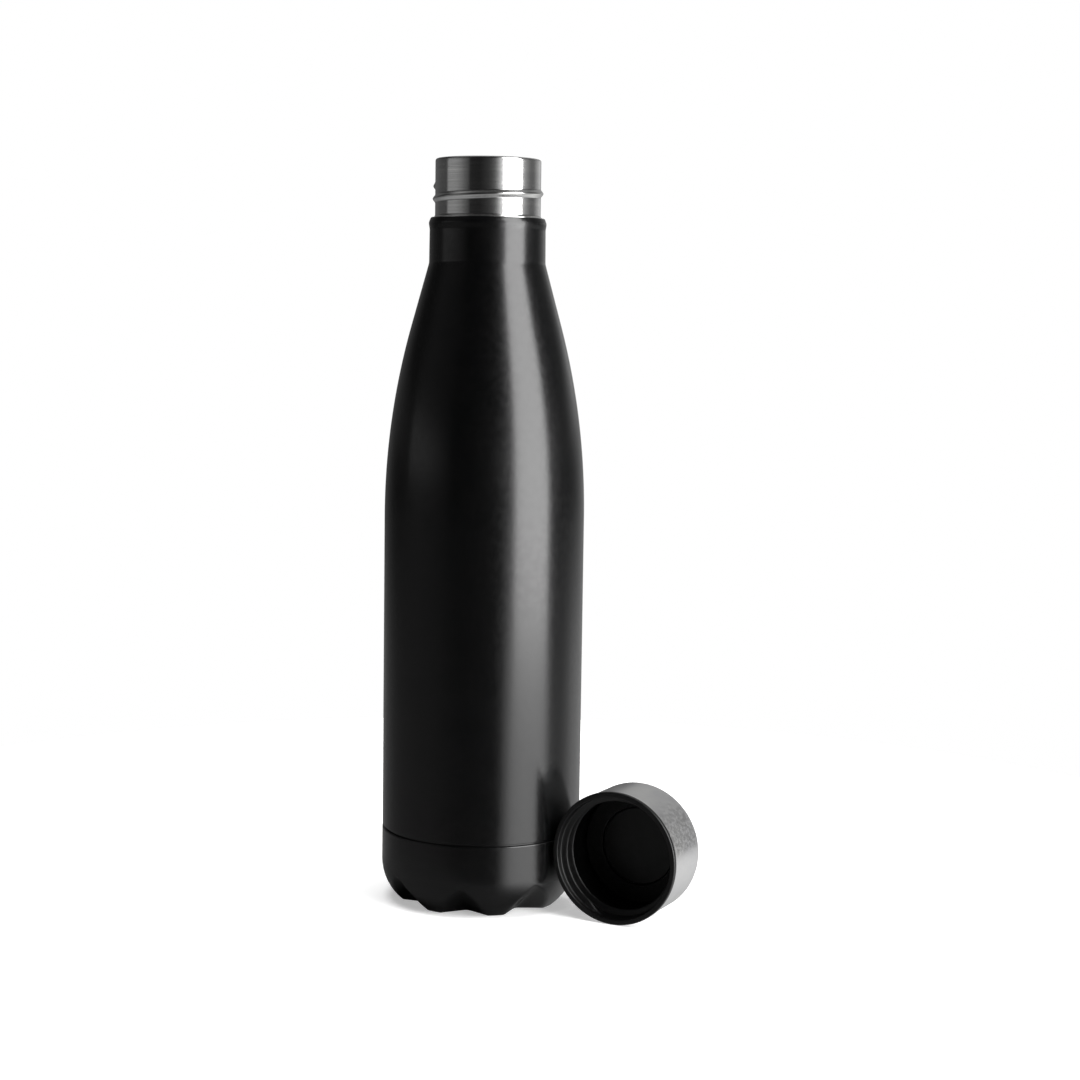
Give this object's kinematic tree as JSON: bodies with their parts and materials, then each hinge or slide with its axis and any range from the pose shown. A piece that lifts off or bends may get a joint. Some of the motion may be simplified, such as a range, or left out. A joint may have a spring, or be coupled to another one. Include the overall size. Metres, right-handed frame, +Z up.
{
  "type": "vacuum bottle",
  "caption": "Slim double-wall steel bottle with a satin black coat, bare threaded neck, notched base cup and a separate brushed-steel screw cap lying beside it.",
  "frame": {"origin": "centre of the bottle's foot ring, on the surface it stands on", "axes": "+Z up the bottle's axis to its mouth; -Y is the front, from which the cap is seen lying to the right; +X to the right"},
  "size_m": [0.1108, 0.0826, 0.2597],
  "materials": {
    "black_coat": "satin powder coat, very fine orange peel",
    "steel": "turned, semi-bright",
    "cap_steel": "fine brushed satin",
    "cap_plastic": "semi-gloss moulded black",
    "silicone": "matte",
    "foam": "closed-cell foam",
    "foil": "bright foil",
    "solder_glass": "dark solder glass",
    "getter_metal": "sintered grey",
    "adhesive": "cured adhesive"
  },
  "bodies": {
    "bottle": {"outer_shell": "black_coat", "inner_flask": "steel", "inner_flask_base": "steel", "foil_wrap": "foil", "outer_base": "steel", "sealing_glass": "solder_glass", "getter_clip": "steel", "getter": "getter_metal", "base_cup": "black_coat", "base_adhesive": "adhesive"},
    "cap_core": {"cap_insulation": "foam"},
    "cap": {"cap_shell": "cap_steel", "cap_liner": "cap_plastic", "cap_seal": "silicone"}
  },
  "joints": [
    {"name": "cap_lift", "type": "slide", "parent": "bottle", "child": "cap_core", "axis": [0, 0, 1], "range_m": [0, 0.27]},
    {"name": "cap_turn", "type": "hinge", "parent": "cap_core", "child": "cap", "pos_m": [0.05141, -0.02653, 0.02293], "axis": [-0.4587, -0.8886, 0], "continuous": true}
  ]
}
